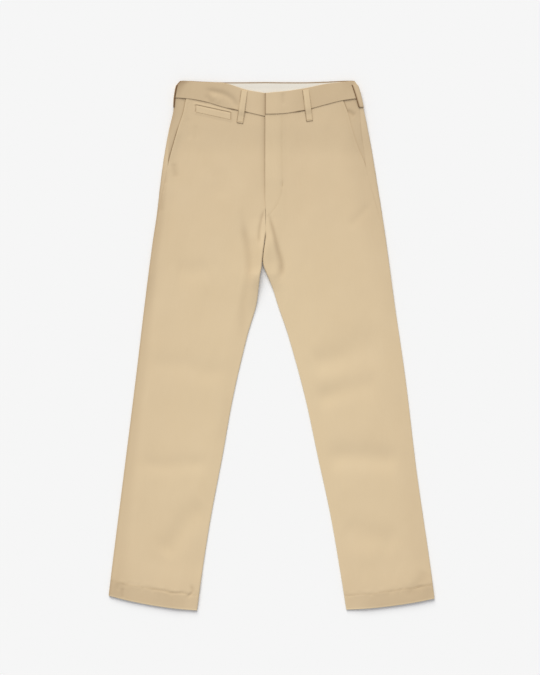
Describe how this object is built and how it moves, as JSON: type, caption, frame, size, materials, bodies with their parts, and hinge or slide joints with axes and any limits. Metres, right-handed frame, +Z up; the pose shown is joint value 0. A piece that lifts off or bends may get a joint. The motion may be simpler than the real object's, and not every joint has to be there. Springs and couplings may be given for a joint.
{
  "type": "chino trousers",
  "caption": "Straight slim khaki chino trousers laid flat with the front up: slanted side pockets, closed fly, belt loops and a small coin pocket.",
  "frame": {"origin": "middle of the outline's box, on the surface that the trousers lie on", "axes": "+X to the wearer's left, +Y to the waist, +Z up out of the surface, with the front of the trousers on top"},
  "size_m": [0.6841, 1.1115, 0.0111],
  "materials": {
    "cotton_twill": "khaki cotton twill, matt",
    "lining_cotton": "cream plain-weave cotton, matt"
  },
  "bodies": {
    "root": {"front_right": "cotton_twill", "front_left": "cotton_twill", "back_right": "cotton_twill", "back_left": "cotton_twill", "pocket_facing_right": "cotton_twill", "pocket_facing_left": "cotton_twill", "waistband_front_right": "cotton_twill", "waistband_front_left": "cotton_twill", "waistband_back": "cotton_twill", "waistband_lining_back": "lining_cotton", "belt_loop_front_right": "cotton_twill", "belt_loop_front_left": "cotton_twill", "belt_loop_side_right": "cotton_twill", "belt_loop_side_left": "cotton_twill", "belt_loop_back_center": "cotton_twill", "coin_pocket_welt": "cotton_twill", "fly_shield": "cotton_twill"}
  },
  "joints": []
}
